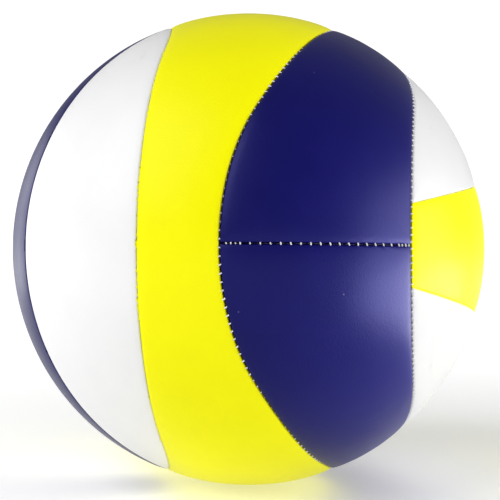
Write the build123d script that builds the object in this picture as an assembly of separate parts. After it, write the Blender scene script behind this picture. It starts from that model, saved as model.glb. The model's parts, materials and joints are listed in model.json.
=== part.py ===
from build123d import *
import os
from collections import namedtuple
from math import acos, atan, atan2, cos, degrees, pi, radians, sin, sqrt

# A sewn volleyball with a ten panel cover, in millimetres and degrees.
# The origin is the middle of the ball, -Y is its front and +Z is up.
# +X is the middle of the right face, whose three strips run along Y.
# -X is the middle of the left face, whose three strips run along Z, and the place of the valve.

# Ball
ball_circumference = 670.0

# Panel laminate, from the outside in
skin_thickness = 0.8
foam_thickness = 2.4
lining_thickness = 0.5
bond_gap = 0.05  # glue line between two layers
hem_bend_radius = 0.8  # inside of the bend where the skin turns in to the seam
corner_radius = 2.0  # of a panel's outline

# Seams
thread_diameter = 0.8
thread_clearance = 0.1  # from the thread to the hem on either side of it
thread_depth = 1.9  # from the surface to the middle of the thread

# Panel outlines, as angles at the middle of the ball
lobe_tilt_angle = 59.6  # from the face's middle to the middle of a lobe's end circle
lobe_radius_angle = 50.0
face_half_length_angle = 68.4  # oval round the three strips
face_half_width_angle = 53.3
face_end_radius_angle = 43.1
strip_half_width_angle = 16.5  # middle strip, at its middle and at its ends
strip_end_half_width_angle = 8.55

# Bladder
bladder_thickness = 0.6
bladder_clearance = 0.1  # from the bladder to the linings

# Valve, with depths measured from its outer face
valve_recess = 0.5  # from the ball's surface to the valve's face
valve_length = 22.0
valve_neck_diameter = 9.0
valve_neck_clearance = 0.25  # in the hole through the panel
valve_tip_diameter = 5.0
valve_tip_length = 4.0
valve_flange_diameter = 30.0
valve_flange_thickness = 1.2
plug_length = 15.0
plug_diameter = 5.0
plug_clearance = 0.05
plug_end_room = 1.5  # between the plug and the end of the housing's bore
plug_head_diameter = 7.2
plug_head_thickness = 1.2
plug_point_length = 2.5
plug_point_diameter = 3.0
needle_hole_diameter = 2.1
needle_hole_depth = 8.0

cut_overrun = 1.0
sharp_turn_share = 0.1  # below it two arcs of an outline count as one smooth line

# Sizes that follow
ball_radius = ball_circumference / (2 * pi)
foam_radius = ball_radius - skin_thickness - bond_gap
lining_radius = foam_radius - foam_thickness - bond_gap
hem_radius = lining_radius - lining_thickness
bladder_radius = hem_radius - bladder_clearance
bladder_inner_radius = bladder_radius - bladder_thickness
thread_radius = ball_radius - thread_depth
seam_half_width = thread_diameter / 2 + thread_clearance
cavity_half_width = seam_half_width + skin_thickness
filling_half_width = cavity_half_width + bond_gap
corner_depth = seam_half_width + corner_radius
waist_angle = 180 - lobe_tilt_angle - lobe_radius_angle

centre = Vector(0, 0, 0)
right = Vector(1, 0, 0)
front = Vector(0, -1, 0)
rear = Vector(0, 1, 0)
top = Vector(0, 0, 1)
bottom = Vector(0, 0, -1)

# A seam is a chain of circles on the ball, each given by its axis through the ball's middle,
# the middle of the stretch that is used, and the angle between the two.
# Its home side, nearer the middle of the face, is inside the circle for 1 and outside it for -1.
SeamCircle = namedtuple("SeamCircle", "axis middle opening home_side")
on_home_side = 1
on_far_side = -1

# A stretch of seam from one point to another, round an axis. Both points have length 1.
SeamArc = namedtuple("SeamArc", "axis start end")


def tilted(angle, side):
    return right * cos(radians(angle)) + side * sin(radians(angle))


def square_to(axis, aim):
    return (aim - axis * axis.dot(aim)).normalized()


def seam_circle(axis, middle, home_side=1):
    return SeamCircle(axis, middle, radians(axis.get_angle(middle)), home_side)


def moved_home(circle, gap):
    return circle._replace(opening=circle.opening - circle.home_side * gap / ball_radius)


def meeting_point(one, two):
    lean = one.axis.dot(two.axis)
    one_share = (cos(one.opening) - cos(two.opening) * lean) / (1 - lean**2)
    two_share = (cos(two.opening) - cos(one.opening) * lean) / (1 - lean**2)
    base = one.axis * one_share + two.axis * two_share
    rise = one.axis.cross(two.axis).normalized() * sqrt(max(0, 1 - base.dot(base)))
    hint = (one.middle + two.middle).normalized()
    return min((base + rise, base - rise), key=lambda point: (point - hint).length)


def closed_chain(circles):
    corners = [meeting_point(circles[i - 1], circle) for i, circle in enumerate(circles)]
    ends = corners[1:] + corners[:1]
    return [SeamArc(circle.axis, start, end) for circle, start, end in zip(circles, corners, ends)]


def turn_share(one, two, point):
    # 0 where two circles touch in a tangent and 1 where they meet at a right angle
    return one.axis.cross(point).normalized().cross(two.axis.cross(point).normalized()).length


def nearest_point(circle, aim):
    return circle.axis * cos(circle.opening) + square_to(circle.axis, aim) * sin(circle.opening)


def corner_arc(before, after, inner_before, inner_after):
    point = meeting_point(before, after)
    if turn_share(before, after, point) < sharp_turn_share:
        return SeamArc(point, point, point)
    middle = meeting_point(inner_before, inner_after)
    return SeamArc(middle, nearest_point(before, middle), nearest_point(after, middle))


def panel_chain(sides, gap):
    # Outline of a panel that keeps a gap to its seams, with an arc in each sharp corner
    outer = [moved_home(circle, place * gap) for circle, place in sides]
    inner = [moved_home(circle, place * corner_depth) for circle, place in sides]
    corners = [corner_arc(outer[i - 1], outer[i], inner[i - 1], inner[i]) for i in range(len(outer))]
    arcs = []
    for circle, corner, next_corner in zip(outer, corners, corners[1:] + corners[:1]):
        arcs.append(SeamArc(circle.axis, corner.end, next_corner.start))
        if next_corner.start != next_corner.end:
            arcs.append(next_corner)
    return arcs


def sweep_angle(arc):
    start = square_to(arc.axis, arc.start)
    return start.get_signed_angle(square_to(arc.axis, arc.end), arc.axis)


def arc_edge(arc, radius):
    middle = arc.start.rotate(Axis(centre, arc.axis), sweep_angle(arc) / 2)
    return Edge.make_three_point_arc(arc.start * radius, middle * radius, arc.end * radius)


def face_circles():
    # Oval of four arcs that meet in tangents, two at the ends of the strips and two at their sides
    end_tilt = face_half_length_angle - face_end_radius_angle
    spread = radians(face_half_width_angle - face_end_radius_angle)
    side_tilt = degrees(atan((cos(spread) - cos(radians(end_tilt))) / sin(spread)))
    circles = {}
    for end in (front, rear):
        circles[end] = seam_circle(tilted(end_tilt, end), tilted(face_half_length_angle, end))
    for side in (top, bottom):
        circles[side] = seam_circle(tilted(side_tilt, -side), tilted(face_half_width_angle, side))
    return circles


def parting_circles():
    # Two lobes, two waists and the four straight stretches between them, from the front round the top
    tilt = radians(lobe_tilt_angle)
    lean = atan2(sin(tilt) * sqrt(0.5), cos(tilt))
    reach = sqrt(cos(tilt) ** 2 + sin(tilt) ** 2 / 2)
    turn = lean - acos(sin(radians(lobe_radius_angle)) / reach)

    def straight(end, side):
        axis = right * cos(turn) + (end - side).normalized() * sin(turn)
        return seam_circle(axis, (end + side).normalized())

    def lobe(end):
        return seam_circle(tilted(lobe_tilt_angle, end), tilted(lobe_tilt_angle + lobe_radius_angle, end))

    def waist(side):
        return seam_circle(-tilted(lobe_tilt_angle, -side), tilted(waist_angle, side), -1)

    return [
        lobe(front),
        straight(front, top),
        waist(top),
        straight(rear, top),
        lobe(rear),
        straight(rear, bottom),
        waist(bottom),
        straight(front, bottom),
    ]


def strip_circle(side):
    wide = radians(strip_half_width_angle)
    narrow = radians(strip_end_half_width_angle)
    rise = sin(wide) - sin(narrow)
    run = cos(wide) - cos(narrow) * cos(radians(face_half_length_angle))
    axis = tilted(90 + degrees(atan(rise / run)), side)
    return seam_circle(axis, tilted(strip_half_width_angle, side), -1)


def split_circle(end):
    return seam_circle(top, end)


def middle_strip():
    face = face_circles()
    circles = [face[front], strip_circle(top), face[rear], strip_circle(bottom)]
    return 0, [(circle, on_home_side) for circle in circles]


def side_strip():
    face = face_circles()
    aim_angle = (strip_half_width_angle + face_half_width_angle) / 2
    oval = [(face[side], on_home_side) for side in (front, top, rear)]
    return aim_angle, [(strip_circle(top), on_far_side)] + oval


def surround():
    face = face_circles()
    aim_angle = (face_half_width_angle + waist_angle) / 2
    oval = [(face[side], on_far_side) for side in (front, top, rear)]
    splits = [(split_circle(end), on_home_side) for end in (front, rear)]
    parting = [(circle, on_home_side) for circle in parting_circles()[4::-1]]
    return aim_angle, splits[:1] + oval + splits[1:] + parting


def panel_layer(outline, outer_radius, thickness, gap):
    aim_angle, sides = outline
    edges = [arc_edge(arc, outer_radius) for arc in panel_chain(sides, gap)]
    # The poles and the closing line of the sphere lie outside the panel
    poles = Plane(centre, x_dir=-tilted(aim_angle, top), z_dir=tilted(aim_angle + 90, top))
    sphere = (poles * Sphere(outer_radius)).face()
    face = min(sphere.split_by_perimeter(Wire(edges), keep=Keep.BOTH), key=lambda half: half.area)
    return Solid.thicken(face, -thickness)


def rounded(panel, outer_radius, rounding):
    rim = [edge for edge in panel.edges() if abs((edge @ 0.5).length - outer_radius) < bond_gap]
    return panel.fillet(rounding, rim).solid()


def panel_layers(outline):
    block = panel_layer(outline, ball_radius, ball_radius - hem_radius, seam_half_width)
    block = rounded(block, ball_radius, hem_bend_radius + skin_thickness)
    cavity_radius = ball_radius - skin_thickness
    cavity_depth = cavity_radius - hem_radius + cut_overrun
    cavity = panel_layer(outline, cavity_radius, cavity_depth, cavity_half_width)
    cavity = rounded(cavity, cavity_radius, hem_bend_radius)
    foam = panel_layer(outline, foam_radius, foam_thickness, filling_half_width)
    foam = rounded(foam, foam_radius, hem_bend_radius - bond_gap)
    lining = panel_layer(outline, lining_radius, lining_thickness, filling_half_width)
    return {"cover": (block - cavity).solid(), "foam": foam, "lining": lining}


def thread(arcs):
    runs = []
    for arc in arcs:
        plane = Plane(arc.start * thread_radius, x_dir=arc.start, z_dir=arc.axis.cross(arc.start))
        section = Face(Wire.make_circle(thread_diameter / 2, plane))
        runs.append(Solid.revolve(section, sweep_angle(arc), Axis(centre, arc.axis)))
    return runs[0].fuse(*runs[1:]).solid() if len(runs) > 1 else runs[0]


def open_thread(circle, start_circle, end_circle):
    start = meeting_point(circle, start_circle)
    end = meeting_point(circle, end_circle)
    return thread([SeamArc(circle.axis, start, end)])


def lower(shape):
    return shape.rotate(Axis(centre, right), 180)


def left_half(shape):
    return shape.rotate(Axis(centre, rear + top), 180)


def panels():
    strip, side, ring = (panel_layers(outline()) for outline in (middle_strip, side_strip, surround))
    hole = valve_rod(valve_neck_diameter + 2 * valve_neck_clearance)
    nodes = {}
    for layer in strip:
        nodes[layer + "_right_middle_strip"] = strip[layer]
        nodes[layer + "_right_upper_strip"] = side[layer]
        nodes[layer + "_right_lower_strip"] = lower(side[layer])
        nodes[layer + "_right_upper_surround"] = ring[layer]
        nodes[layer + "_right_lower_surround"] = lower(ring[layer])
        nodes[layer + "_left_middle_strip"] = left_half(strip[layer]) - hole
        nodes[layer + "_left_rear_strip"] = left_half(side[layer])
        nodes[layer + "_left_front_strip"] = left_half(lower(side[layer]))
        nodes[layer + "_left_rear_surround"] = left_half(ring[layer])
        nodes[layer + "_left_front_surround"] = left_half(lower(ring[layer]))
    return nodes


def threads():
    face = face_circles()
    oval = thread(closed_chain([face[front], face[top], face[rear], face[bottom]]))
    # A thread stops short of the threads that it runs into
    stop = thread_diameter + thread_clearance
    strip = open_thread(strip_circle(top), moved_home(face[front], stop), moved_home(face[rear], stop))
    lobe = parting_circles()[0]
    split = open_thread(split_circle(front), moved_home(face[front], -stop), moved_home(lobe, stop))
    return {
        "thread_parting_seam": thread(closed_chain(parting_circles())),
        "thread_right_face_seam": oval,
        "thread_left_face_seam": left_half(oval),
        "thread_right_upper_strip_seam": strip,
        "thread_right_lower_strip_seam": lower(strip),
        "thread_left_rear_strip_seam": left_half(strip),
        "thread_left_front_strip_seam": left_half(lower(strip)),
        "thread_right_front_split_seam": split,
        "thread_right_rear_split_seam": lower(split),
        "thread_left_lower_split_seam": left_half(split),
        "thread_left_upper_split_seam": left_half(lower(split)),
    }


def hollow_ball(outer_radius, inner_radius):
    return Sphere(outer_radius) - Sphere(inner_radius)


def turned_about_x(profile):
    # Each point of the profile is a depth from the valve's face and a radius
    face_x = valve_recess - ball_radius
    points = [Vector(face_x + depth, 0, radius) for depth, radius in profile]
    return revolve(make_face(Polyline(*points, close=True)), Axis.X).solid()


def valve_rod(diameter):
    return Plane(-right * ball_radius, z_dir=right) * Cylinder(diameter / 2, 2 * valve_length)


def valve_housing():
    neck = valve_neck_diameter / 2
    bore = plug_diameter / 2 + plug_clearance
    bore_depth = plug_length + plug_end_room
    head = plug_head_diameter / 2 + plug_clearance
    head_depth = plug_head_thickness + plug_clearance
    tube = turned_about_x(
        [
            (0, head),
            (0, neck),
            (valve_length - valve_tip_length, neck),
            (valve_length, valve_tip_diameter / 2),
            (valve_length, 0),
            (bore_depth, 0),
            (bore_depth, bore),
            (head_depth, bore),
            (head_depth, head),
        ]
    )
    seat_radius = bladder_inner_radius - bond_gap
    disc = hollow_ball(seat_radius, seat_radius - valve_flange_thickness) & valve_rod(valve_flange_diameter)
    return (disc - valve_rod(plug_head_diameter) + tube).solid()


def valve_plug():
    needle_hole = needle_hole_diameter / 2
    head = plug_head_diameter / 2
    shank = plug_diameter / 2
    return turned_about_x(
        [
            (0, needle_hole),
            (0, head),
            (plug_head_thickness, head),
            (plug_head_thickness, shank),
            (plug_length - plug_point_length, shank),
            (plug_length, plug_point_diameter / 2),
            (plug_length, 0),
            (needle_hole_depth, 0),
            (needle_hole_depth, needle_hole),
        ]
    )


def core():
    bladder = hollow_ball(bladder_radius, bladder_inner_radius)
    return {
        "bladder": bladder - valve_rod(valve_neck_diameter + 2 * bond_gap),
        "valve_housing": valve_housing(),
        "valve_plug": valve_plug(),
    }


os.makedirs("parts", exist_ok=True)
for node, shape in {**panels(), **threads(), **core()}.items():
    export_step(shape, "parts/" + node + ".step")
    print(node, len(shape.solids()), round(shape.volume, 1))
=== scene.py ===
import json
from collections import namedtuple
from math import acos, atan, atan2, ceil, cos, degrees, exp, pi, radians, sin, sqrt

import bpy
import numpy as np
from mathutils import Matrix, Vector
from mathutils.kdtree import KDTree

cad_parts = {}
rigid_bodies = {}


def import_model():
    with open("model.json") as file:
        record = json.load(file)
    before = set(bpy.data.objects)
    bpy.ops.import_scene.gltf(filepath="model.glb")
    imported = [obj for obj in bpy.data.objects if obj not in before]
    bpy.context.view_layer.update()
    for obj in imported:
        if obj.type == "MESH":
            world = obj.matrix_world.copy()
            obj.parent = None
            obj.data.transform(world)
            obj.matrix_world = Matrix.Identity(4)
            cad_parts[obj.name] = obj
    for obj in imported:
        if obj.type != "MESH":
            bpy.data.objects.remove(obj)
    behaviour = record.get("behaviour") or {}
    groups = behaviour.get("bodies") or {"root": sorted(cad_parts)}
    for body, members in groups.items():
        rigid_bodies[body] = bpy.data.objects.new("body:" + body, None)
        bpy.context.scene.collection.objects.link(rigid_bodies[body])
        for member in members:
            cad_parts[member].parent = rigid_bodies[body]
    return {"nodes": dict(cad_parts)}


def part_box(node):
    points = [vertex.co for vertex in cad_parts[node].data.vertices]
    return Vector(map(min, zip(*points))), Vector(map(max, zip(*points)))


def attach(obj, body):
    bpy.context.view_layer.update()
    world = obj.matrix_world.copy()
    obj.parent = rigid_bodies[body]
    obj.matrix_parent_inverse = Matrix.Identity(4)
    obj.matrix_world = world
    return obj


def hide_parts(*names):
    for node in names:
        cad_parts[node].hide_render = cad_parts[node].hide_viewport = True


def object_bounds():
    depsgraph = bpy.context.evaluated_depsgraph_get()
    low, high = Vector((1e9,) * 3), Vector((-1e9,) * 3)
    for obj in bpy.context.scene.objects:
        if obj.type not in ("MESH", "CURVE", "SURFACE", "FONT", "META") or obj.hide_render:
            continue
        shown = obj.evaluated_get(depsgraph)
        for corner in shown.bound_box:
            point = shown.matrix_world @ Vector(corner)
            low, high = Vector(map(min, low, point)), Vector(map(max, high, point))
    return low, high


# The sewn volleyball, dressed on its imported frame. Metres, -Y front, +Z up.
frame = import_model()
cadLow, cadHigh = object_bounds()
nodes = frame["nodes"]
ballRadius = cadHigh.x  # the middle of the right face is whole, so it gives the radius
mm = 0.001
right, rear, top = np.eye(3)
front, bottom = -rear, -top

# Seam layout, in degrees at the ball's middle
layout = {
    "lobeTilt": 59.6,
    "lobeRadius": 50.0,
    "faceHalfLength": 68.4,
    "faceHalfWidth": 53.3,
    "faceEndRadius": 43.1,
    "stripHalfWidth": 16.5,
    "stripEndHalfWidth": 8.55,
}

# homeSide is 1 where the side nearer the face's middle is inside the circle
ballCircle = namedtuple("ballCircle", "axis middle opening homeSide")
ballArc = namedtuple("ballArc", "axis start sweep length")


def unit(vector):
    return vector / np.linalg.norm(vector)


def tilted(angle, side):
    return right * cos(radians(angle)) + side * sin(radians(angle))


def seamCircle(axis, middle, homeSide=1):
    axis = unit(axis)
    middle = unit(middle)
    return ballCircle(axis, middle, acos(axis @ middle), homeSide)


def shifted(circle, gap):
    return circle._replace(opening=circle.opening - circle.homeSide * gap / ballRadius)


def meetingPoint(one, two):
    lean = one.axis @ two.axis
    oneShare = (cos(one.opening) - cos(two.opening) * lean) / (1 - lean**2)
    twoShare = (cos(two.opening) - cos(one.opening) * lean) / (1 - lean**2)
    base = one.axis * oneShare + two.axis * twoShare
    rise = unit(np.cross(one.axis, two.axis)) * sqrt(max(0, 1 - base @ base))
    hint = unit(one.middle + two.middle)
    return min((base + rise, base - rise), key=lambda point: np.linalg.norm(point - hint))


def seamArc(circle, start, end):
    across = start - circle.axis * (circle.axis @ start)
    sweep = atan2(np.cross(across, end) @ circle.axis, across @ end)
    return ballArc(circle.axis, start, sweep, abs(sweep) * np.linalg.norm(across) * ballRadius)


def closedChain(circles):
    corners = [meetingPoint(circles[i - 1], circle) for i, circle in enumerate(circles)]
    ends = corners[1:] + corners[:1]
    return [seamArc(circle, start, end) for circle, start, end in zip(circles, corners, ends)]


def alongArc(arc, share):
    turn = np.asarray(share)[:, None] * arc.sweep
    level = arc.axis * (arc.axis @ arc.start)
    across = arc.start - level
    return level + across * np.cos(turn) + np.cross(arc.axis, across) * np.sin(turn)


def alongArcs(arcs, shares):
    ends = np.cumsum([arc.length for arc in arcs])
    places = np.asarray(shares) * ends[-1]
    picked = np.minimum(np.searchsorted(ends, places), len(arcs) - 1)
    points = np.empty((len(places), 3))
    for i, arc in enumerate(arcs):
        here = picked == i
        points[here] = alongArc(arc, (places[here] - ends[i] + arc.length) / arc.length)
    return points


def faceCircles():
    length, width, endRadius = layout["faceHalfLength"], layout["faceHalfWidth"], layout["faceEndRadius"]
    endTilt = length - endRadius
    spread = radians(width - endRadius)
    sideTilt = degrees(atan((cos(spread) - cos(radians(endTilt))) / sin(spread)))
    ends = [seamCircle(tilted(endTilt, end), tilted(length, end)) for end in (front, rear)]
    sides = [seamCircle(tilted(sideTilt, -side), tilted(width, side)) for side in (top, bottom)]
    return ends + sides


def partingCircles():
    lobeTilt, lobeRadius = layout["lobeTilt"], layout["lobeRadius"]
    tilt = radians(lobeTilt)
    lean = atan2(sin(tilt) * sqrt(0.5), cos(tilt))
    reach = sqrt(cos(tilt) ** 2 + sin(tilt) ** 2 / 2)
    turn = lean - acos(sin(radians(lobeRadius)) / reach)
    waistAngle = 180 - lobeTilt - lobeRadius

    def lobe(end):
        return seamCircle(tilted(lobeTilt, end), tilted(lobeTilt + lobeRadius, end))

    def straight(end, side):
        return seamCircle(right * cos(turn) + unit(end - side) * sin(turn), end + side)

    def waist(side):
        return seamCircle(-tilted(lobeTilt, -side), tilted(waistAngle, side), -1)

    upper = [lobe(front), straight(front, top), waist(top), straight(rear, top)]
    return upper + [lobe(rear), straight(rear, bottom), waist(bottom), straight(front, bottom)]


def stripCircle(side):
    wide = radians(layout["stripHalfWidth"])
    narrow = radians(layout["stripEndHalfWidth"])
    run = cos(wide) - cos(narrow) * cos(radians(layout["faceHalfLength"]))
    axis = tilted(90 + degrees(atan((sin(wide) - sin(narrow)) / run)), side)
    return seamCircle(axis, tilted(layout["stripHalfWidth"], side), -1)


faceFront, faceRear, faceTop, faceBottom = faceCircles()
parting = partingCircles()
stripTop, stripBottom = stripCircle(top), stripCircle(bottom)
splitFront, splitRear = seamCircle(top, front), seamCircle(top, rear)
lowerTurn = Matrix.Rotation(pi, 4, "X")
leftTurn = Matrix.Rotation(pi, 4, Vector((0, 1, 1)))
print("layout: seams ready, ball radius", round(ballRadius / mm, 2), "mm")


def deselectAll():
    bpy.ops.object.select_all(action="DESELECT")


def readPoints(piece):
    points = np.empty(len(piece.data.vertices) * 3, np.float32)
    piece.data.vertices.foreach_get("co", points)
    return points.reshape(-1, 3).astype(float)


def placePoints(piece, points):
    piece.data.vertices.foreach_set("co", points.astype(np.float32).ravel())
    piece.data.update()


def startPiece(name):
    piece = bpy.context.active_object
    piece.name = name
    piece.data.name = name
    return piece


def editAll(*steps):
    bpy.ops.object.mode_set(mode="EDIT")
    bpy.ops.mesh.select_all(action="SELECT")
    for step in steps:
        step()
    bpy.ops.object.mode_set(mode="OBJECT")


def pickOnly(piece):
    deselectAll()
    piece.select_set(True)
    bpy.context.view_layer.objects.active = piece


def applyPlace(piece):
    pickOnly(piece)
    bpy.ops.object.transform_apply(location=True, rotation=True, scale=True)


def applyModifier(piece, kind, **settings):
    pickOnly(piece)
    modifier = piece.modifiers.new(kind.title(), kind)
    for key, value in settings.items():
        setattr(modifier, key, value)
    bpy.ops.object.modifier_apply(modifier=modifier.name)


def copyPiece(master, name, turns):
    piece = master.copy()
    piece.data = master.data.copy()
    piece.name = name
    piece.data.name = name
    bpy.context.scene.collection.objects.link(piece)
    for turn in turns:
        piece.data.transform(turn)
    return piece


def closeEnds():
    bpy.ops.mesh.select_all(action="SELECT")
    bpy.ops.mesh.fill_holes(sides=0)
    bpy.ops.mesh.normals_make_consistent(inside=False)


def removePiece(piece):
    bpy.data.meshes.remove(piece.data)


# Stitches: one arch of thread, copied along each seam
stitch = {
    "threadRadius": 0.30 * mm,
    "archRadius": 0.75 * mm,
    "lockCount": 4,  # closer stitches at each end of a split seam
    "lockPitch": 1.7 * mm,
    "lockStarts": (1.3 * mm, 2.5 * mm),  # from the face seam and from the parting seam
    "sides": 6,
    "steps": 6,
    "slant": radians(14),
    "slantSpread": radians(12),
    "depthSpread": 0.12 * mm,
    "lineRadius": 0.16 * mm,  # lock thread, under the hems
    "lineDepth": 3.4 * mm,
    "lineStep": 3 * mm,
    "lineLeastSteps": 4,
    "lineWeld": 0.02 * mm,  # joins the ends of a closed thread
    "seed": 5,
}
# Pitch and depth of the stitches in each seam, how much narrower than the rest its slot is, and
# the slow change of the thread's tension along each arc of it, in depth and in number of waves
seamMake = {
    "parting": {
        "pitch": 3.2 * mm, "depth": 2.10 * mm, "tight": 0.04 * mm, "swing": 0.40 * mm, "waves": 1,
    },
    "rightFace": {
        "pitch": 2.75 * mm, "depth": 1.70 * mm, "tight": 0.0, "swing": 0.30 * mm, "waves": 1,
    },
    "leftFace": {
        "pitch": 2.75 * mm, "depth": 2.30 * mm, "tight": 0.23 * mm, "swing": 0.20 * mm, "waves": 1,
    },
    "strip": {
        "pitch": 3.2 * mm, "depth": 2.30 * mm, "tight": 0.23 * mm, "swing": 0.20 * mm, "waves": 1,
    },
    "split": {
        "pitch": 3.75 * mm, "depth": 1.84 * mm, "tight": 0.0, "swing": 0.22 * mm, "waves": 0.75,
    },
}
jitter = np.random.default_rng(stitch["seed"])


def stitchShares(kind, arc):
    locks = np.arange(stitch["lockCount"]) * stitch["lockPitch"] if kind == "split" else np.arange(0)
    starts = stitch["lockStarts"] if kind == "split" else (0, 0)
    near, far = (start + len(locks) * stitch["lockPitch"] for start in starts)
    run = arc.length - near - far
    # An even count, so that no stitch is at the middle
    count = 2 * max(1, round(run / seamMake[kind]["pitch"] / 2))
    places = near + (np.arange(count) + 0.5) / count * run
    return np.concatenate([starts[0] + locks, places, arc.length - starts[1] - locks[::-1]]) / arc.length


def stitchMaster():
    deselectAll()
    bpy.ops.mesh.primitive_circle_add(
        vertices=stitch["sides"], radius=stitch["threadRadius"], location=(stitch["archRadius"], 0, 0)
    )
    piece = startPiece("stitchMaster")
    applyPlace(piece)
    editAll(
        lambda: bpy.ops.mesh.spin(steps=stitch["steps"], angle=pi, center=(0, 0, 0), axis=(0, 1, 0)),
        closeEnds,
    )
    bpy.ops.object.shade_smooth()
    return piece


def stitchPlace(arc, point, depth, slant):
    along = unit(np.cross(arc.axis, point))
    across = np.cross(along, point)
    turned = Matrix((across, along, point)).transposed().to_4x4()
    place = Matrix.Translation(Vector(point * (ballRadius - depth)))
    return place @ turned @ Matrix.Rotation(slant, 4, "Z")


def lockThread(name, arcs, closed):
    low = ballRadius - stitch["lineDepth"]
    heading = Vector(np.cross(arcs[0].axis, arcs[0].start))
    deselectAll()
    bpy.ops.mesh.primitive_circle_add(
        vertices=stitch["sides"],
        radius=stitch["lineRadius"],
        location=Vector(arcs[0].start * low),
        rotation=heading.to_track_quat("Z", "Y").to_euler(),
    )
    piece = startPiece(name)
    applyPlace(piece)
    bpy.ops.object.mode_set(mode="EDIT")
    bpy.ops.mesh.select_all(action="SELECT")
    for arc in arcs:  # spin turns clockwise about its axis
        steps = max(stitch["lineLeastSteps"], ceil(arc.length / stitch["lineStep"]))
        bpy.ops.mesh.spin(steps=steps, angle=-arc.sweep, center=(0, 0, 0), axis=Vector(arc.axis))
    bpy.ops.mesh.select_all(action="SELECT")
    bpy.ops.mesh.remove_doubles(threshold=stitch["lineWeld"])
    if not closed:
        bpy.ops.mesh.fill_holes(sides=0)
    bpy.ops.mesh.normals_make_consistent(inside=False)
    bpy.ops.object.mode_set(mode="OBJECT")
    bpy.ops.object.shade_smooth()
    return piece


def stitchDepth(kind, share):
    make = seamMake[kind]
    swing = make["swing"] * sin(2 * pi * make["waves"] * share)
    return make["depth"] - swing + stitch["depthSpread"] * jitter.uniform(-1, 1)


def seamThread(kind, arcs, master):
    name = kind + "SeamMaster"
    line = lockThread(name, arcs, closed=len(arcs) > 1)
    arches = []
    for arc in arcs:
        shares = stitchShares(kind, arc)
        for share, point in zip(shares, alongArc(arc, shares)):
            slant = stitch["slant"] + stitch["slantSpread"] * jitter.uniform(-1, 1)
            depth = stitchDepth(kind, share)
            arches.append(copyPiece(master, name + "Arch", [stitchPlace(arc, point, depth, slant)]))
    pickOnly(line)
    for arch in arches:
        arch.select_set(True)
    bpy.ops.object.join()
    return line


def openSeam(circle, startCircle, endCircle):
    return [seamArc(circle, meetingPoint(circle, startCircle), meetingPoint(circle, endCircle))]


faceSeam = closedChain([faceFront, faceTop, faceRear, faceBottom])
seamArcs = {
    "parting": closedChain(parting),
    "rightFace": faceSeam,
    "leftFace": faceSeam,
    "strip": openSeam(stripTop, faceFront, faceRear),
    "split": openSeam(splitFront, faceFront, parting[0]),
}
seamCopies = [
    ("stitchesPartingSeam", "parting", [], "thread_parting_seam"),
    ("stitchesRightFaceSeam", "rightFace", [], "thread_right_face_seam"),
    ("stitchesLeftFaceSeam", "leftFace", [leftTurn], "thread_left_face_seam"),
    ("stitchesRightUpperStripSeam", "strip", [], "thread_right_upper_strip_seam"),
    ("stitchesRightLowerStripSeam", "strip", [lowerTurn], "thread_right_lower_strip_seam"),
    ("stitchesLeftRearStripSeam", "strip", [leftTurn], "thread_left_rear_strip_seam"),
    ("stitchesLeftFrontStripSeam", "strip", [lowerTurn, leftTurn], "thread_left_front_strip_seam"),
    ("stitchesRightFrontSplitSeam", "split", [], "thread_right_front_split_seam"),
    ("stitchesRightRearSplitSeam", "split", [lowerTurn], "thread_right_rear_split_seam"),
    ("stitchesLeftLowerSplitSeam", "split", [leftTurn], "thread_left_lower_split_seam"),
    ("stitchesLeftUpperSplitSeam", "split", [lowerTurn, leftTurn], "thread_left_upper_split_seam"),
]


def makeStitches():
    master = stitchMaster()
    seams = {kind: seamThread(kind, arcs, master) for kind, arcs in seamArcs.items()}
    pieces = []
    for name, kind, turns, node in seamCopies:
        piece = copyPiece(seams[kind], name, turns)
        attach(piece, "ball")
        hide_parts(node)
        pieces.append(piece)
    for seam in seams.values():
        removePiece(seam)
    removePiece(master)
    print("stitches:", len(pieces), "seams,", sum(len(piece.data.polygons) for piece in pieces), "faces")
    return pieces


def stitchTree():
    points = []
    for _, kind, turns, _ in seamCopies:
        arcs = seamArcs[kind] if seamMake[kind]["tight"] < panelRim["pullTight"] else []
        for arc in arcs:
            for point in alongArc(arc, stitchShares(kind, arc)):
                place = Vector(point * ballRadius)
                for turn in turns:
                    place = turn @ place
                points.append(place)
    tree = KDTree(len(points))
    for i, place in enumerate(points):
        tree.insert(place, i)
    tree.balance()
    return tree


# Cover panels: a grid laid between the seams, with its rim rolled into the groove
panelRim = {
    "slotHalf": 0.26 * mm,  # half of the slot between two hems
    "slotLeast": 0.03 * mm,  # at the hems' lower edge, where they are pressed together
    "hemDepth": 3.2 * mm,
    "hemTopShare": 1.3,  # of the roll's radius, where the straight hem starts
    "hemRows": 3,
    "rollRadius": 0.75 * mm,
    "rollRows": 7,
    "crown": 0.60 * mm,  # how far the panel's edge lies below its middle
    "crownReach": 4.6 * mm,
    "crownGaps": [2.2 * mm, 3.4 * mm, 5.0 * mm, 7.2 * mm, 10.0 * mm],
    "crownEndCells": 4,  # cells of the grid over which the rest of the crown runs out
    "skin": 0.8 * mm,
    "pull": 0.30 * mm,  # dent beside each stitch
    "pullReach": 1.4 * mm,
    "pullReaches": 4,  # farther than this many reaches from a seam there is no dent
    "pullTight": 0.1 * mm,  # a seam tighter than this has no dents
}
panelGrid = {
    "middleStrip": (230, 46),
    "sideStrip": (220, 56),
    "surround": (320, 50),
}


def crownDepth(gap):
    return panelRim["crown"] * exp(-max(0, gap - panelRim["slotHalf"]) / panelRim["crownReach"])


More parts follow.
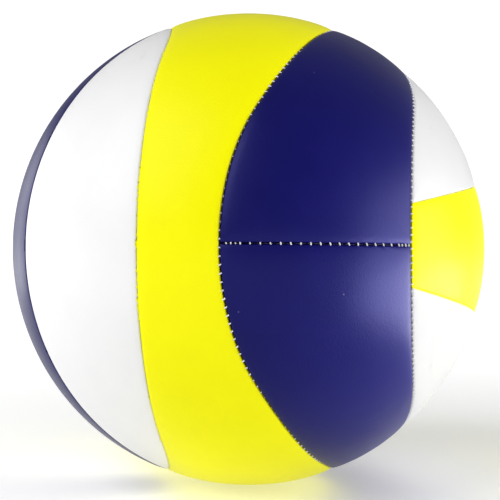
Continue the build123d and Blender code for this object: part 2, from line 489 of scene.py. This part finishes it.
def rimRows():
    slot, roll = panelRim["slotHalf"], panelRim["rollRadius"]
    hemTop = roll * panelRim["hemTopShare"]
    hemGaps = np.linspace(panelRim["slotLeast"], slot, panelRim["hemRows"])
    rows = list(zip(hemGaps, np.linspace(panelRim["hemDepth"], hemTop, panelRim["hemRows"])))
    for angle in np.linspace(0, pi / 2, panelRim["rollRows"]):
        gap = slot + roll * (1 - cos(angle))
        rows.append((gap, roll * (1 - sin(angle)) + crownDepth(gap)))
    return rows + [(gap, crownDepth(gap)) for gap in panelRim["crownGaps"]]


def panelSides(kind, half):
    # Inner rail, rear end, outer rail and front end, in order round the panel
    home, far = 1, -1  # the side of its seam that the panel lies on
    face = half + "Face"
    if kind == "middleStrip":
        rails = [[(circle, home, "strip")] for circle in (stripBottom, stripTop)]
        ends = [[(circle, home, face)] for circle in (faceRear, faceFront)]
        return [rails[0], ends[0], rails[1], ends[1]]
    if kind == "sideStrip":
        rest = [[(circle, home, face)] for circle in (faceRear, faceTop, faceFront)]
        return [[(stripTop, far, "strip")]] + rest
    inner = [(circle, far, face) for circle in (faceFront, faceTop, faceRear)]
    outer = [(circle, home, "parting") for circle in parting[4::-1]]
    return [inner, [(splitRear, home, "split")], outer, [(splitFront, home, "split")]]


def ringSides(sides, gap):
    moved = []
    for side in sides:
        for circle, place, seam in side:
            ownGap = max(gap - seamMake[seam]["tight"], panelRim["slotLeast"])
            moved.append(shifted(circle, place * ownGap))
    arcs = iter(closedChain(moved))
    return [[next(arcs) for _ in side] for side in sides]


def panelPoints(kind, half):
    # Place of each grid point, and its distance from the nearest seam's middle
    alongCount, acrossCount = panelGrid[kind]
    sides = panelSides(kind, half)
    rows = rimRows()
    innerTight, rearTight, outerTight, frontTight = (seamMake[side[0][2]]["tight"] for side in sides)
    points = np.zeros((alongCount + 1, acrossCount + 1, 3))
    gaps = np.full((alongCount + 1, acrossCount + 1), panelRim["crownGaps"][-1])
    for k, (gap, depth) in enumerate(rows):
        inner, rearEnd, outer, frontEnd = ringSides(sides, gap)
        alongShares = np.linspace(0, 1, alongCount + 1 - 2 * k)
        acrossShares = np.linspace(0, 1, acrossCount + 1 - 2 * k)
        level = ballRadius - depth
        alongRun = slice(k, alongCount + 1 - k)
        acrossRun = slice(k, acrossCount + 1 - k)
        points[alongRun, k] = alongArcs(inner, alongShares) * level
        points[alongCount - k, acrossRun] = alongArcs(rearEnd, acrossShares) * level
        points[alongRun, acrossCount - k] = alongArcs(outer, alongShares)[::-1] * level
        points[k, acrossRun] = alongArcs(frontEnd, acrossShares)[::-1] * level
        gaps[alongRun, k] = gap + innerTight  # a tight seam shows less of its hems and of their painted shade
        gaps[alongRun, acrossCount - k] = gap + outerTight
        gaps[k, acrossRun] = gap + frontTight
        gaps[alongCount - k, acrossRun] = gap + rearTight
    fillMiddle(points, len(rows) - 1)
    return points, gaps


def panelMaster(kind, half, tree):
    points, gaps = panelPoints(kind, half)
    alongCount, acrossCount = panelGrid[kind]
    deselectAll()
    bpy.ops.mesh.primitive_grid_add(x_subdivisions=alongCount, y_subdivisions=acrossCount, size=1)
    piece = startPiece(half + kind + "Master")
    flat = readPoints(piece)
    i = np.rint((flat[:, 0] + 0.5) * alongCount).astype(int)
    j = np.rint((flat[:, 1] + 0.5) * acrossCount).astype(int)
    gridGaps = gaps[i, j]
    placePoints(piece, pulledIn(points[i, j], gridGaps, tree))
    seamGap = piece.data.attributes.new("seamGap", "FLOAT", "POINT")
    seamGap.data.foreach_set("value", (gridGaps / mm).astype(np.float32))
    middle = piece.data.polygons[len(piece.data.polygons) // 2]
    if middle.normal.dot(middle.center) < 0:
        editAll(bpy.ops.mesh.flip_normals)
    applyModifier(piece, "SOLIDIFY", thickness=panelRim["skin"], offset=-1, use_even_offset=False)
    bpy.ops.object.shade_smooth()
    return piece


def fillMiddle(points, edge):
    # Blends the four sides of the last rim row over the panel's middle
    field = points[edge : points.shape[0] - edge, edge : points.shape[1] - edge]
    u = np.linspace(0, 1, field.shape[0])[:, None, None]
    v = np.linspace(0, 1, field.shape[1])[None, :, None]
    rails = (1 - v) * field[:, :1] + v * field[:, -1:]
    ends = (1 - u) * field[:1] + u * field[-1:]
    low = (1 - v) * field[:1, :1] + v * field[:1, -1:]
    high = (1 - v) * field[-1:, :1] + v * field[-1:, -1:]
    blend = rails + ends - (1 - u) * low - u * high
    radius = np.linalg.norm(field[:, :1], axis=-1, keepdims=True).mean()
    inside = blend / np.linalg.norm(blend, axis=-1, keepdims=True)
    cells = np.minimum(np.minimum(u, 1 - u) * field.shape[0], np.minimum(v, 1 - v) * field.shape[1])
    rise = np.clip(cells / panelRim["crownEndCells"], 0, 1)
    field[1:-1, 1:-1] = (inside * (radius + (ballRadius - radius) * rise))[1:-1, 1:-1]


def pulledIn(points, gaps, tree):
    pulled = points.copy()
    for i in np.flatnonzero(gaps < panelRim["pullReaches"] * panelRim["pullReach"]):
        surface = Vector(points[i]).normalized() * ballRadius
        _, _, distance = tree.find(surface)
        weight = exp(-((distance / panelRim["pullReach"]) ** 2))
        pulled[i] *= 1 - panelRim["pull"] * weight / ballRadius
    return pulled


coverPlan = [
    ("skinRightMiddleStrip", "middleStrip", [], "right_middle_strip", "yellow"),
    ("skinRightUpperStrip", "sideStrip", [], "right_upper_strip", "white"),
    ("skinRightLowerStrip", "sideStrip", [lowerTurn], "right_lower_strip", "white"),
    ("skinRightUpperSurround", "surround", [], "right_upper_surround", "blue"),
    ("skinRightLowerSurround", "surround", [lowerTurn], "right_lower_surround", "blue"),
    ("skinLeftMiddleStrip", "middleStrip", [leftTurn], "left_middle_strip", "blue"),
    ("skinLeftRearStrip", "sideStrip", [leftTurn], "left_rear_strip", "white"),
    ("skinLeftFrontStrip", "sideStrip", [lowerTurn, leftTurn], "left_front_strip", "white"),
    ("skinLeftRearSurround", "surround", [leftTurn], "left_rear_surround", "yellow"),
    ("skinLeftFrontSurround", "surround", [lowerTurn, leftTurn], "left_front_surround", "yellow"),
]


def cutValveHole(piece):
    deselectAll()
    bpy.ops.mesh.primitive_cylinder_add(
        vertices=valve["holeSides"],
        radius=valve["holeRadius"],
        depth=valve["cutterLength"],
        location=(-ballRadius, 0, 0),
        rotation=(0, pi / 2, 0),
    )
    cutter = startPiece("valveHoleCutter")
    applyPlace(cutter)
    applyModifier(piece, "BOOLEAN", operation="DIFFERENCE", object=cutter, solver="EXACT")
    editAll(lambda: bpy.ops.mesh.remove_doubles(threshold=valve["holeWeld"]))
    bpy.ops.object.shade_smooth_by_angle(angle=valve["holeSmoothAngle"])
    removePiece(cutter)


def makeCover(materials):
    tree = stitchTree()
    kinds = [(kind, half) for kind in panelGrid for half in ("left", "right")]
    masters = {(kind, half): panelMaster(kind, half, tree) for kind, half in kinds}
    for name, kind, turns, node, colour in coverPlan:
        piece = copyPiece(masters[kind, node.split("_")[0]], name, turns)
        piece.data.materials.append(materials[colour])
        if node == "left_middle_strip":
            cutValveHole(piece)
        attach(piece, "ball")
        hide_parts("cover_" + node)
        print("cover:", name, len(piece.data.polygons), "faces")
    for master in masters.values():
        removePiece(master)


# Valve: housing and plug, turned about X; depths are from the valve's outer face
valve = {
    "holeRadius": 4.75 * mm,  # in the panel
    "holeSides": 96,
    "holeWeld": 0.01 * mm,
    "holeSmoothAngle": radians(40),
    "cutterLength": 20 * mm,
    "sides": 64,
    "bevel": 0.16 * mm,
    "bevelSteps": 3,
    "bevelAngle": radians(25),
    "smoothAngle": radians(35),
    "neckRadius": 4.5 * mm,
    "length": 22.0 * mm,
    "tipRadius": 2.5 * mm,
    "tipLength": 4.0 * mm,
    "boreRadius": 2.55 * mm,
    "boreDepth": 16.5 * mm,
    "seatRadius": 3.65 * mm,  # recess for the plug's head
    "seatDepth": 1.25 * mm,
    "flangeRadius": 15.0 * mm,
    "flangeDepths": (4.2 * mm, 5.4 * mm),  # outer and inner side, at the neck
    "flangeSag": 1.05 * mm,  # how far the flange's rim lies below them
}
plug = {
    "holeRadius": 1.05 * mm,  # for the needle
    "holeDepth": 8.0 * mm,
    "dishRadius": 1.75 * mm,
    "dishDepth": 0.4 * mm,
    "headRadius": 3.6 * mm,
    "headThickness": 1.2 * mm,
    "shankRadius": 2.5 * mm,
    "length": 15.0 * mm,
    "pointRadius": 1.5 * mm,
    "pointLength": 2.5 * mm,
}


def housingProfile():
    neck, rim = valve["neckRadius"], valve["flangeRadius"]
    near, far = valve["flangeDepths"]
    return [
        (valve["boreDepth"], valve["boreRadius"]),
        (valve["seatDepth"], valve["boreRadius"]),
        (valve["seatDepth"], valve["seatRadius"]),
        (0, valve["seatRadius"]),
        (0, neck),
        (near, neck),
        (near + valve["flangeSag"], rim),
        (far + valve["flangeSag"], rim),
        (far, neck),
        (valve["length"] - valve["tipLength"], neck),
        (valve["length"], valve["tipRadius"]),
    ]


def plugProfile():
    return [
        (plug["holeDepth"], plug["holeRadius"]),
        (plug["dishDepth"], plug["holeRadius"]),
        (0, plug["dishRadius"]),
        (0, plug["headRadius"]),
        (plug["headThickness"], plug["headRadius"]),
        (plug["headThickness"], plug["shankRadius"]),
        (plug["length"] - plug["pointLength"], plug["shankRadius"]),
        (plug["length"], plug["pointRadius"]),
    ]


def turnedPiece(name, profile, faceX):
    deselectAll()
    depth, radius = profile[0]
    bpy.ops.mesh.primitive_circle_add(vertices=valve["sides"], radius=radius, location=(0, 0, -depth))
    piece = startPiece(name)
    applyPlace(piece)
    bpy.ops.object.mode_set(mode="EDIT")
    bpy.ops.mesh.select_all(action="SELECT")
    for nextDepth, nextRadius in profile[1:]:
        bpy.ops.mesh.extrude_region_move(TRANSFORM_OT_translate={"value": (0, 0, depth - nextDepth)})
        grow = nextRadius / radius
        bpy.ops.transform.resize(value=(grow, grow, 1))
        depth, radius = nextDepth, nextRadius
    closeEnds()
    bpy.ops.object.mode_set(mode="OBJECT")
    piece.data.transform(Matrix.Translation((faceX, 0, 0)) @ Matrix.Rotation(-pi / 2, 4, "Y"))
    applyModifier(
        piece, "BEVEL", width=valve["bevel"], segments=valve["bevelSteps"],
        limit_method="ANGLE", angle_limit=valve["bevelAngle"],
    )
    bpy.ops.object.shade_smooth_by_angle(angle=valve["smoothAngle"])
    return piece


def makeValve(materials):
    for name, profile, body, node in (
        ("valveHousing", housingProfile(), "ball", "valve_housing"),
        ("valvePlug", plugProfile(), "plug", "valve_plug"),
    ):
        low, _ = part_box(node)
        piece = turnedPiece(name, profile, low[0])
        piece.data.materials.append(materials[name])
        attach(piece, body)
        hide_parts(node)
        print("valve:", name, len(piece.data.polygons), "faces")


# Materials
# Each skin's darker colour for its hems inside the seams is painted shade
skins = {
    "white": {
        "colour": (0.83, 0.83, 0.84), "low": (0.805, 0.805, 0.815), "hem": (0.52, 0.51, 0.51),
        "specular": 0.3, "tint": (1.0, 1.0, 1.0),
    },
    "yellow": {
        "colour": (0.90, 0.87, 0.0008), "low": (0.87, 0.84, 0.0008), "hem": (0.46, 0.40, 0.001),
        "specular": 0.095, "tint": (1.0, 1.0, 1.0),
    },
    "blue": {
        "colour": (0.0030, 0.0028, 0.080), "low": (0.0025, 0.0024, 0.070), "hem": (0.0022, 0.0020, 0.038),
        "specular": 0.32, "tint": (0.40, 0.40, 1.0),
    },
}
skinFinish = {
    "pebbleScale": 1500.0,  # cells per metre
    "pebbleSmoothness": 0.35,
    "pebbleRandomness": 0.9,
    "pebbleDepth": 0.030 * mm,
    "fineScale": 4600.0,  # roughness on the pebbles
    "fineDetail": 2.0,
    "fineShare": 0.35,
    "mottleScale": 24.0,
    "mottleDetail": 4.0,
    "mottleRoughness": 0.6,
    "roughness": (0.33, 0.40),
    "hemReach": (0.26, 0.42),  # millimetres from the seam's middle
    "dust": 0.12,
    "dustScale": 75.0,
    "dustSize": (0.014, 0.026),  # of a cell, from a fleck's core to its rim
    "dustColour": (0.80, 0.80, 0.85),
}
noiseFinish = {
    "span": (0.35, 0.65),  # where most of a noise's values lie
    "toneDetail": 3.0,
}


def newGroup(name, inputs, outputs):
    group = bpy.data.node_groups.new(name, "ShaderNodeTree")
    for direction, sockets in (("INPUT", inputs), ("OUTPUT", outputs)):
        for socketName, kind in sockets:
            group.interface.new_socket(socketName, in_out=direction, socket_type="NodeSocket" + kind)
    return group, group.nodes.new("NodeGroupInput"), group.nodes.new("NodeGroupOutput")


def addNode(tree, kind, **settings):
    node = tree.nodes.new("ShaderNode" + kind)
    for key, value in settings.items():
        setattr(node, key, value)
    return node


def setInputs(node, **values):
    for key, value in values.items():
        node.inputs[key].default_value = value


def rangeNode(tree, source, fromLow, fromHigh, toLow, toHigh):
    node = addNode(tree, "MapRange")
    limits = {"From Min": fromLow, "From Max": fromHigh, "To Min": toLow, "To Max": toHigh}
    setInputs(node, **limits)
    tree.links.new(source, node.inputs["Value"])
    return node.outputs["Result"]


def mathNode(tree, operation, *values):
    node = addNode(tree, "Math", operation=operation)
    for socket, value in zip(node.inputs, values):
        if isinstance(value, (int, float)):
            socket.default_value = value
        else:
            tree.links.new(value, socket)
    return node.outputs["Value"]


def mixColour(tree, factor, one, two):
    node = addNode(tree, "Mix", data_type="RGBA")
    tree.links.new(factor, node.inputs[0])
    for socket, value in zip(node.inputs[6:8], (one, two)):
        if isinstance(value, tuple):
            socket.default_value = (*value, 1)
        else:
            tree.links.new(value, socket)
    return node.outputs[2]


def skinSurfaceGroup():
    # Pebbled grain, slow mottling, a few flecks of dust, and a mask for the hems inside the seams, where
    # painted shade darkens the skin
    group, inside, outside = newGroup(
        "skinSurface",
        [("Vector", "Vector"), ("Pebble Scale", "Float"), ("Seam Gap", "Float")],
        [("Height", "Float"), ("Mottle", "Float"), ("Fleck", "Float"), ("Hem Shade", "Float")],
    )
    pebble = addNode(group, "TexVoronoi", feature="SMOOTH_F1")
    setInputs(pebble, Smoothness=skinFinish["pebbleSmoothness"], Randomness=skinFinish["pebbleRandomness"])
    fine = addNode(group, "TexNoise")
    setInputs(fine, Scale=skinFinish["fineScale"], Detail=skinFinish["fineDetail"])
    mottle = addNode(group, "TexNoise")
    setInputs(mottle, Scale=skinFinish["mottleScale"], Detail=skinFinish["mottleDetail"])
    setInputs(mottle, Roughness=skinFinish["mottleRoughness"])
    dust = addNode(group, "TexVoronoi")
    setInputs(dust, Scale=skinFinish["dustScale"])
    for node in (pebble, fine, mottle, dust):
        group.links.new(inside.outputs["Vector"], node.inputs["Vector"])
    group.links.new(inside.outputs["Pebble Scale"], pebble.inputs["Scale"])
    made = {
        "Height": mathNode(
            group, "MULTIPLY_ADD", fine.outputs[0], skinFinish["fineShare"], pebble.outputs["Distance"]
        ),
        "Mottle": rangeNode(group, mottle.outputs[0], *noiseFinish["span"], 0, 1),
        "Fleck": rangeNode(group, dust.outputs["Distance"], *skinFinish["dustSize"], 1, 0),
        # Painted shade mask: 1 on the hems inside a seam, falling to 0 a little farther out
        "Hem Shade": rangeNode(group, inside.outputs["Seam Gap"], *skinFinish["hemReach"], 1, 0),
    }
    for socketName, output in made.items():
        group.links.new(output, outside.inputs[socketName])
    return group


def toneGroup():
    # Noise that shifts a colour between two tones and gives the height of a bump
    group, inside, outside = newGroup(
        "tone", [("Vector", "Vector"), ("Scale", "Float")], [("Tone", "Float"), ("Height", "Float")]
    )
    noise = addNode(group, "TexNoise")
    setInputs(noise, Detail=noiseFinish["toneDetail"])
    for socketName in ("Vector", "Scale"):
        group.links.new(inside.outputs[socketName], noise.inputs[socketName])
    group.links.new(rangeNode(group, noise.outputs[0], *noiseFinish["span"], 0, 1), outside.inputs["Tone"])
    group.links.new(noise.outputs[0], outside.inputs["Height"])
    return group


def startMaterial(name, roughness, specular):
    material = bpy.data.materials.new(name)
    material.use_nodes = True
    shader = material.node_tree.nodes["Principled BSDF"]
    setInputs(shader, **{"Roughness": roughness, "Specular IOR Level": specular})
    return material, material.node_tree, shader


def bumpInto(tree, shader, height, depth):
    bump = addNode(tree, "Bump")
    setInputs(bump, Strength=1.0, Distance=depth)
    tree.links.new(height, bump.inputs["Height"])
    tree.links.new(bump.outputs["Normal"], shader.inputs["Normal"])


def skinMaterial(name, colours, group):
    material, tree, shader = startMaterial(name, skinFinish["roughness"][0], colours["specular"])
    shader.inputs["Specular Tint"].default_value = (*colours["tint"], 1)
    place = addNode(tree, "TexCoord")
    gap = addNode(tree, "Attribute", attribute_name="seamGap")
    surface = addNode(tree, "Group", node_tree=group)
    surface.inputs["Pebble Scale"].default_value = skinFinish["pebbleScale"]
    tree.links.new(place.outputs["Object"], surface.inputs["Vector"])
    tree.links.new(gap.outputs["Fac"], surface.inputs["Seam Gap"])
    mottle = surface.outputs["Mottle"]
    mottled = mixColour(tree, mottle, colours["low"], colours["colour"])
    # Painted shade: the hems inside the seams take a darker colour
    hemmed = mixColour(tree, surface.outputs["Hem Shade"], mottled, colours["hem"])
    fleck = mathNode(tree, "MULTIPLY", surface.outputs["Fleck"], skinFinish["dust"])
    dusted = mixColour(tree, fleck, hemmed, skinFinish["dustColour"])
    tree.links.new(dusted, shader.inputs["Base Color"])
    tree.links.new(rangeNode(tree, mottle, 0, 1, *skinFinish["roughness"]), shader.inputs["Roughness"])
    # No shine inside a seam
    shine = rangeNode(tree, gap.outputs["Fac"], *skinFinish["hemReach"], 0, colours["specular"])
    tree.links.new(shine, shader.inputs["Specular IOR Level"])
    bumpInto(tree, shader, surface.outputs["Height"], skinFinish["pebbleDepth"])
    return material


def startTone(name, make, group):
    # Colour between two tones; each finish adds its own bump
    material, tree, shader = startMaterial(name, make["roughness"], make["specular"])
    place = addNode(tree, "TexCoord").outputs["Object"]
    tone = addNode(tree, "Group", node_tree=group)
    setInputs(tone, Scale=make["scale"])
    tree.links.new(place, tone.inputs["Vector"])
    colour = mixColour(tree, tone.outputs["Tone"], make["dark"], make["light"])
    tree.links.new(colour, shader.inputs["Base Color"])
    return material, shader, place, tone.outputs["Height"]


def toneMaterial(name, make, group):
    material, shader, _, height = startTone(name, make, group)
    bumpInto(material.node_tree, shader, height, make["depth"])
    return material


def foamMaterial(name, make, group):
    # Closed cells
    material, shader, place, _ = startTone(name, make, group)
    tree = material.node_tree
    cells = addNode(tree, "TexVoronoi")
    setInputs(cells, Scale=make["cellScale"])
    tree.links.new(place, cells.inputs["Vector"])
    bumpInto(tree, shader, cells.outputs["Distance"], make["depth"])
    return material


def clothMaterial(name, make, group):
    # Plain weave: two sets of yarns, by turns over and under
    material, shader, place, _ = startTone(name, make, group)
    tree = material.node_tree
    yarns = []
    for axis in ("X", "Z"):
        yarn = addNode(tree, "TexWave", bands_direction=axis)
        setInputs(yarn, Scale=make["yarnScale"], Distortion=make["yarnWander"])
        tree.links.new(place, yarn.inputs["Vector"])
        yarns.append(yarn.outputs["Fac"])
    weave = mathNode(tree, "MAXIMUM", *yarns)
    bumpInto(tree, shader, weave, make["depth"])
    return material


otherMakes = {
    "thread": {
        "light": (0.88, 0.88, 0.93), "dark": (0.62, 0.62, 0.68), "scale": 3200.0, "depth": 0.03 * mm,
        "roughness": 0.65, "specular": 0.3,
    },
    "foam": {
        "light": (0.80, 0.79, 0.74), "dark": (0.70, 0.69, 0.63), "scale": 160.0, "depth": 0.08 * mm,
        "roughness": 0.85, "specular": 0.2, "cellScale": 1400.0,
    },
    "lining": {
        "light": (0.82, 0.82, 0.80), "dark": (0.68, 0.68, 0.66), "scale": 90.0, "depth": 0.06 * mm,
        "roughness": 0.9, "specular": 0.2, "yarnScale": 380.0, "yarnWander": 0.6,
    },
    "bladder": {
        "light": (0.030, 0.030, 0.032), "dark": (0.016, 0.016, 0.018), "scale": 220.0, "depth": 0.05 * mm,
        "roughness": 0.55, "specular": 0.4,
    },
    "valveHousing": {
        "light": (0.026, 0.026, 0.029), "dark": (0.014, 0.014, 0.016), "scale": 900.0, "depth": 0.03 * mm,
        "roughness": 0.5, "specular": 0.4,
    },
    "valvePlug": {
        "light": (0.040, 0.040, 0.044), "dark": (0.022, 0.022, 0.025), "scale": 1100.0, "depth": 0.03 * mm,
        "roughness": 0.58, "specular": 0.4,
    },
}


def makeMaterials():
    surface, tone = skinSurfaceGroup(), toneGroup()
    made = {colour: skinMaterial(colour + "Skin", skins[colour], surface) for colour in skins}
    for name, make in otherMakes.items():
        kind = {"foam": foamMaterial, "lining": clothMaterial}.get(name, toneMaterial)
        made[name] = kind(name + "Finish", make, tone)
    return made


def dressInside(materials):
    for name, node in nodes.items():
        kind = name.split("_")[0]
        if kind in ("foam", "lining", "bladder"):
            for slot in node.material_slots:
                slot.material = materials[kind]


materials = makeMaterials()
print("materials:", len(materials), "finishes")
for seamPiece in makeStitches():
    seamPiece.data.materials.append(materials["thread"])
makeCover(materials)
makeValve(materials)
dressInside(materials)
print("inside: foam, lining and bladder dressed")


# Camera at the photo's angle
view = {
    "back": (-0.2399, -0.9706, -0.0200),  # from the ball's middle to the camera
    "up": (-0.0094, -0.0183, 0.9998),
    "distance": 4.21,  # in ball radii
    "imageWidth": 500,  # in pixels, and so are the next two
    "focal": 964.5,
    "shift": (1.44, -0.88),
    "sensorWidth": 36,
    "clipStart": 0.01,
}


def cameraAxes():
    back = Vector(view["back"]).normalized()
    side = Vector(view["up"]).cross(back).normalized()
    return side, back.cross(side), back


def makeCamera():
    side, up, back = cameraAxes()
    camera = bpy.data.objects.new("photoCamera", bpy.data.cameras.new("photoCamera"))
    bpy.context.scene.collection.objects.link(camera)
    turned = Matrix((side, up, back)).transposed().to_4x4()
    camera.matrix_world = Matrix.Translation(back * view["distance"] * ballRadius) @ turned
    camera.data.sensor_width = view["sensorWidth"]
    camera.data.lens = view["focal"] / view["imageWidth"] * view["sensorWidth"]
    camera.data.shift_x, camera.data.shift_y = (shift / view["imageWidth"] for shift in view["shift"])
    camera.data.clip_start = view["clipStart"]
    bpy.context.scene.camera = camera


# Floor and lights
studio = {
    "floorSize": 40.0,
    "floorCuts": 8,
    "floor": {
        "light": (0.93, 0.93, 0.93), "dark": (0.91, 0.91, 0.91), "scale": 3.0, "depth": 0.0,
        "roughness": 0.9, "specular": 0.1,
    },
    "floorGlow": (0.31, 0.85),  # near the ball and far away, so that the floor runs into the backdrop
    "glowReach": (0.08, 0.9),
    "skyLight": (0.33, 0.24),  # from the horizon and from overhead
    "skySpan": (0.1, 1),
    "backdrop": 1.1,
    "rightPanels": ("skinRightUpperSurround", "skinRightLowerSurround", "skinRightMiddleStrip"),
    # Each box stands at an angle to the right of the camera; lit is the group of pieces that it lights
    "boxes": {
        "softboxRight": {
            "lit": "rightPanels", "angle": 70, "height": -0.063, "distance": 0.24,
            "width": 0.24, "tall": 0.085, "power": 0.68,
        },
        "softboxFrontRight": {
            "lit": "ball", "angle": 76, "height": 0.10, "distance": 1.2,
            "width": 0.9, "tall": 0.65, "power": 11.0,
        },
        "softboxFront": {
            "lit": "rightPanels", "angle": -22, "height": 0.62, "distance": 0.95,
            "width": 0.25, "tall": 0.95, "power": 1.8,
        },
        "softboxLeft": {
            "lit": "all", "angle": -52, "height": 0.82, "distance": 1.1,
            "width": 1.1, "tall": 1.1, "power": 12.1,
        },
        "softboxLeftRear": {
            "lit": "ball", "angle": -118, "height": 0.05, "distance": 0.8,
            "width": 0.6, "tall": 0.6, "power": 2.2,
        },
    },
}


def makeStage():
    deselectAll()
    bpy.ops.mesh.primitive_plane_add(size=studio["floorSize"], location=(0, 0, cadLow.z))
    floor = startPiece("studioFloor")
    applyPlace(floor)
    editAll(lambda: bpy.ops.mesh.subdivide(number_cuts=studio["floorCuts"]))
    paleFloor = toneMaterial("paleFloor", studio["floor"], bpy.data.node_groups["tone"])
    tree = paleFloor.node_tree
    reach = addNode(tree, "VectorMath", operation="LENGTH")
    tree.links.new(addNode(tree, "TexCoord").outputs["Object"], reach.inputs[0])
    glow = rangeNode(tree, reach.outputs["Value"], *studio["glowReach"], *studio["floorGlow"])
    shader = tree.nodes["Principled BSDF"]
    tree.links.new(glow, shader.inputs["Emission Color"])
    shader.inputs["Emission Strength"].default_value = 1
    floor.data.materials.append(paleFloor)


def softbox(name, make):
    side, _, back = cameraAxes()
    angle = radians(make["angle"])
    place = (back * cos(angle) + side * sin(angle)) * make["distance"]
    place.z = make["height"]
    data = bpy.data.lights.new(name, "AREA")
    data.shape = "RECTANGLE"
    data.size, data.size_y = make["width"], make["tall"]
    data.energy = make["power"]
    lamp = bpy.data.objects.new(name, data)
    bpy.context.scene.collection.objects.link(lamp)
    lamp.location = place
    lamp.rotation_euler = (-place).to_track_quat("-Z", "Y").to_euler()
    lamp.visible_camera = False
    if make["lit"] != "all":
        lamp.light_linking.receiver_collection = bpy.data.collections[make["lit"]]


def groupLitPieces():
    # The floor is in neither group, so that these boxes leave no patch on it
    ball = bpy.data.collections.new("ball")
    rightPanels = bpy.data.collections.new("rightPanels")
    for piece in bpy.context.scene.objects:
        if piece.type == "MESH" and piece.name != "studioFloor":
            ball.objects.link(piece)
        if piece.name in studio["rightPanels"]:
            rightPanels.objects.link(piece)


def makeLight():
    scene = bpy.context.scene
    groupLitPieces()
    scene.view_settings.view_transform = "Standard"
    world = bpy.data.worlds.new("studioWorld")
    scene.world = world
    world.use_nodes = True
    tree = world.node_tree
    place = addNode(tree, "TexCoord")
    axes = addNode(tree, "SeparateXYZ")
    tree.links.new(place.outputs["Generated"], axes.inputs["Vector"])
    sky = rangeNode(tree, axes.outputs["Z"], *studio["skySpan"], *studio["skyLight"])
    path = addNode(tree, "LightPath")
    seen = addNode(tree, "Mix")
    tree.links.new(path.outputs["Is Camera Ray"], seen.inputs["Factor"])
    tree.links.new(sky, seen.inputs["A"])
    seen.inputs["B"].default_value = studio["backdrop"]  # the backdrop is brighter than the light it gives
    backdrop = tree.nodes["Background"]
    backdrop.inputs["Color"].default_value = (1, 1, 1, 1)
    tree.links.new(seen.outputs["Result"], backdrop.inputs["Strength"])
    for name, make in studio["boxes"].items():
        softbox(name, make)


makeCamera()
makeStage()
makeLight()
print("stage: camera, floor and lights ready")
